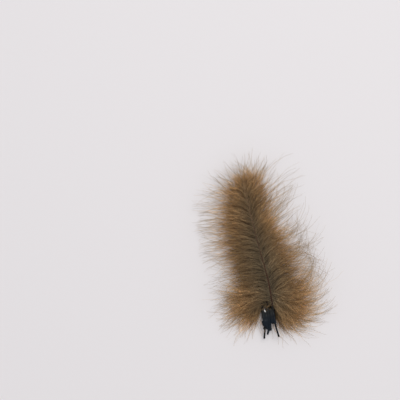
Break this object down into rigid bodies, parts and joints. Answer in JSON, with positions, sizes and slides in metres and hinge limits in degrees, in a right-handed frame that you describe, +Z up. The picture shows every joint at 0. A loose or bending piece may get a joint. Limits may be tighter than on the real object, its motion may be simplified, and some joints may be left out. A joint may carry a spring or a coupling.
{
  "type": "bunch of cul de canard feathers",
  "caption": "Flat bunch of small fluffy brown duck down feathers, stacked and held together at their dark quills by a short lacquered band.",
  "frame": {"origin": "on the surface the bunch lies on, under the middle of its box", "axes": "+Z up off the surface, +Y from the quill ends to the feather tips, +X to the right seen from above"},
  "size_m": [0.0332, 0.0506, 0.0063],
  "materials": {
    "down": "matte",
    "lacquer": "gloss"
  },
  "bodies": {
    "root": {"feather_1": "down", "feather_2": "down", "feather_3": "down", "feather_4": "down", "feather_5": "down", "feather_6": "down", "quill_band": "lacquer"}
  },
  "joints": []
}
